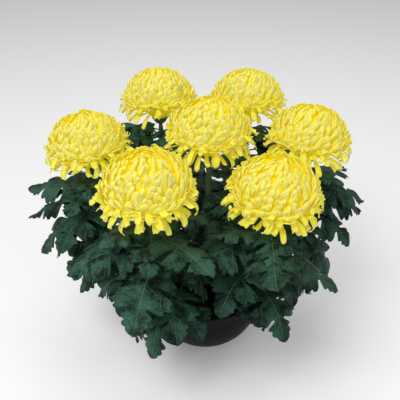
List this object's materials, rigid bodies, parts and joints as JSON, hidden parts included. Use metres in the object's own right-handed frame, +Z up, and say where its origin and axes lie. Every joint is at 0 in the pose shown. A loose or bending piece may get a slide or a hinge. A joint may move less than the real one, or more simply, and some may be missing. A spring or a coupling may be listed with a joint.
{
  "type": "potted chrysanthemum",
  "caption": "Potted flowering chrysanthemum with large round incurved yellow blooms on leafy stems above a plain black bowl pot.",
  "frame": {"origin": "middle of the bowl's flat base, on the surface it stands on", "axes": "+Z up; -Y points from the plant to the side it is looked at from; +X to the right as seen from there"},
  "size_m": [0.6537, 0.589, 0.5371],
  "materials": {
    "bowl": "matt black moulded plastic",
    "soil": "loose dark peat compost",
    "leaf": "satin blue-green leaf with pale veins",
    "petal": "satin lemon-yellow florets with cream edges"
  },
  "bodies": {
    "root": {"bowl": "bowl", "soil": "soil", "stem_left": "leaf", "bloom_left": "petal", "stem_back_left": "leaf", "bloom_back_left": "petal", "stem_back_right": "leaf", "bloom_back_right": "petal", "stem_right": "leaf", "bloom_right": "petal", "stem_front_right": "leaf", "bloom_front_right": "petal", "stem_front_left": "leaf", "bloom_front_left": "petal", "stem_centre": "leaf", "bloom_centre": "petal"}
  },
  "joints": []
}
